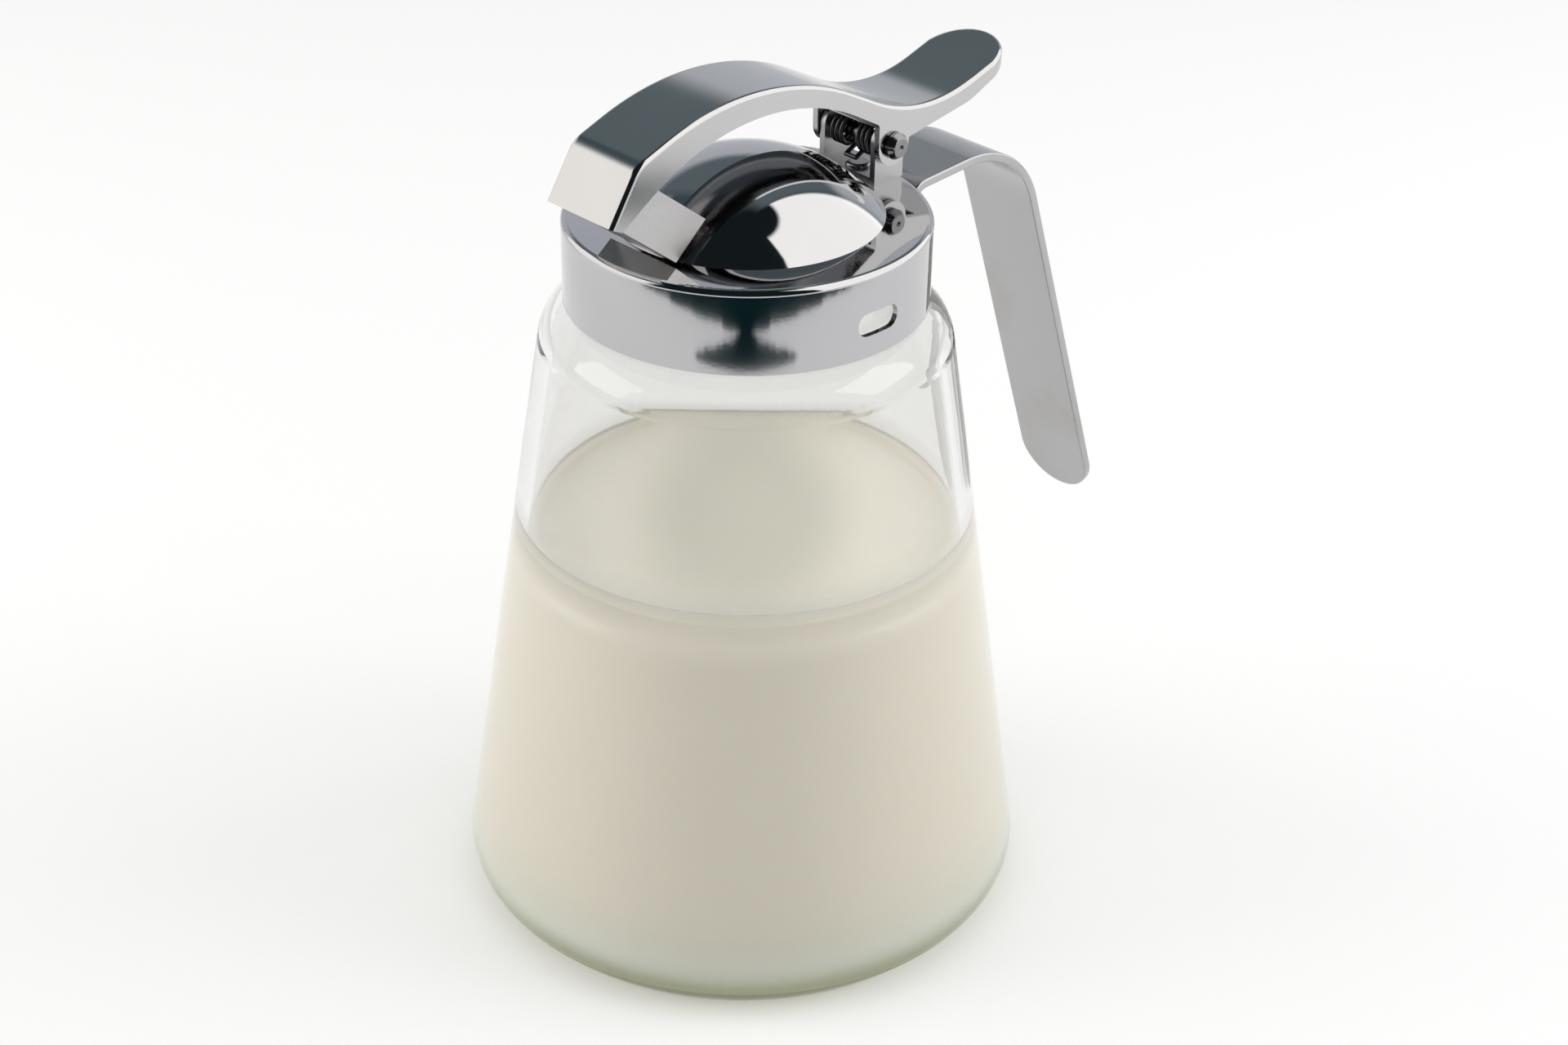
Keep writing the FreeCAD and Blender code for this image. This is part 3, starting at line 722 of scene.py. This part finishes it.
def half_globe(name):
    """A half globe about the jug, open below."""
    points, faces = [], []
    for ring in range(SHELL_RINGS):
        rise = math.radians(SHELL_LOW + (90 - SHELL_LOW) * ring / (SHELL_RINGS - 1))
        for i in range(SHELL_SEGMENTS):
            points.append(circle_point(SHELL_RADIUS * math.cos(rise),
                                       2 * math.pi * i / SHELL_SEGMENTS,
                                       SHELL_RADIUS * math.sin(rise)))
    for ring in range(SHELL_RINGS - 1):
        low, high = ring * SHELL_SEGMENTS, (ring + 1) * SHELL_SEGMENTS
        for i in range(SHELL_SEGMENTS):
            j = (i + 1) % SHELL_SEGMENTS
            faces.append((low + i, low + j, high + j, high + i))
    return mesh_object(name, points, faces)


# --- stage ----------------------------------------------------------------------------------

FLOOR_SIZE = 12.0
FLOOR_COLOUR = (0.80, 0.80, 0.80, 1.0)
FLOOR_GLOW = 0.235  # white added to the floor where the eye sees it
LAMP_SIZE = 0.6
LAMP_TARGET = (0, 0, 0.08)
LEFT_LAMP = (-0.60, 0.56, 0.46)
LEFT_LAMP_COLOUR = (1, 0.985, 0.96)
RIGHT_LAMP = (0.55, -0.49, 0.60)
CAMERA_SPOT = (-0.2988, -0.3150, 0.3260)
CAMERA_TARGET = (0.00513, -0.00503, 0.07337)
CAMERA_ROLL = 0.0174
SENSOR_WIDTH = 36


def lamp(name, spot, power, colour=(1, 1, 1)):
    """A soft square lamp that faces the jug and isn't mirrored."""
    data = bpy.data.lights.new(name, "AREA")
    data.shape = "SQUARE"
    data.size = LAMP_SIZE
    data.energy = power
    data.color = colour
    made = bpy.data.objects.new(name, data)
    bpy.context.scene.collection.objects.link(made)
    made.location = spot
    made.visible_glossy = False
    made.rotation_mode = "QUATERNION"
    made.rotation_quaternion = (Vector(spot) - Vector(LAMP_TARGET)).to_track_quat("Z", "Y")


class JUG_OT_stage(bpy.types.Operator):
    """Set up the floor, the room light, the lamps and the camera"""

    bl_idname = "milk_jug.stage"
    bl_label = "Stage"

    def execute(self, context):
        stage = context.scene.milk_jug.stage
        context.scene.view_settings.view_transform = "Standard"
        self.floor()
        context.scene.world = self.room(stage)
        mirrored_only(half_globe("studio_shell"), studio_material())
        flag, _, glow = glow_material("flag_black")
        set_inputs(glow, {"Color": (*FLAG_COLOUR, 1.0)})
        mirrored_only(bow_tie("floor_flag"), flag)
        lamp("left_lamp", LEFT_LAMP, stage.left_lamp, LEFT_LAMP_COLOUR)
        lamp("right_lamp", RIGHT_LAMP, stage.right_lamp)
        context.scene.camera = self.camera(stage)
        return {"FINISHED"}

    def floor(self):
        """A wide sheet of pale paper."""
        half = FLOOR_SIZE / 2
        corners = [(-half, -half, 0), (half, -half, 0), (half, half, 0), (-half, half, 0)]
        made = mesh_object("floor", corners, [(0, 1, 2, 3)], smooth=False)
        material, tree, shader = new_material("floor_paper")
        set_inputs(shader, {"Base Color": FLOOR_COLOUR, "Roughness": 0.9,
                            "Specular IOR Level": 0.0})
        seen_white(tree, shader, FLOOR_GLOW)
        made.data.materials.append(material)

    def room(self, stage):
        """Even light from all round, which looks plain white to the eye."""
        world = bpy.data.worlds.new("room")
        world.use_nodes = True
        tree = world.node_tree
        tree.nodes.clear()
        extra = math_node(tree, "MULTIPLY", seen_rays(tree), 1.0 - stage.room)
        sky = node(tree, "ShaderNodeBackground", Color=(1, 1, 1, 1),
                   Strength=math_node(tree, "ADD", extra, stage.room))
        node(tree, "ShaderNodeOutputWorld", Surface=sky.outputs[0])
        return world

    def camera(self, stage):
        """The camera, above and in front of the jug, turned a little about its own axis."""
        data = bpy.data.cameras.new("camera")
        data.lens = stage.lens
        data.sensor_width = SENSOR_WIDTH
        data.clip_start = 0.01
        data.clip_end = 50
        made = bpy.data.objects.new("camera", data)
        bpy.context.scene.collection.objects.link(made)
        spot = Vector(CAMERA_SPOT)
        ahead = (Vector(CAMERA_TARGET) - spot).normalized()
        right = ahead.cross(Vector((0, 0, 1))).normalized()
        up = right.cross(ahead)
        tilted_right = right * math.cos(CAMERA_ROLL) + up * math.sin(CAMERA_ROLL)
        tilted_up = up * math.cos(CAMERA_ROLL) - right * math.sin(CAMERA_ROLL)
        turn = Matrix((tilted_right, tilted_up, -ahead)).transposed().to_4x4()
        made.matrix_world = Matrix.Translation(spot) @ turn
        return made


# --- panel and registration -----------------------------------------------------------------


class JUG_PT_panel(bpy.types.Panel):
    """Lists the jug's pieces and settings"""

    bl_idname = "JUG_PT_panel"
    bl_label = "Milk jug"
    bl_space_type = "VIEW_3D"
    bl_region_type = "UI"
    bl_category = "Milk jug"

    def draw(self, context):
        for piece in ("glass", "milk", "metal", "stage"):
            box = self.layout.box()
            values = getattr(context.scene.milk_jug, piece)
            for label in values.__annotations__:
                box.prop(values, label)
            box.operator("milk_jug." + piece)


CLASSES = (GlassSettings, MilkSettings, MetalSettings, StageSettings, JugSettings,
           JUG_OT_glass, JUG_OT_milk, JUG_OT_metal, JUG_OT_stage, JUG_PT_panel)


def register():
    """Makes the classes and the scene's settings known to Blender."""
    for cls in CLASSES:
        bpy.utils.register_class(cls)
    bpy.types.Scene.milk_jug = PointerProperty(type=JugSettings, name="Milk jug",
                                               description="Settings of the milk jug")


def unregister():
    """Takes back what register did."""
    del bpy.types.Scene.milk_jug
    for cls in reversed(CLASSES):
        bpy.utils.unregister_class(cls)


def main():
    """Builds the whole scene."""
    register()
    bpy.ops.milk_jug.glass()
    bpy.ops.milk_jug.milk()
    bpy.ops.milk_jug.metal()
    bpy.ops.milk_jug.stage()


if __name__ == "__main__":
    main()
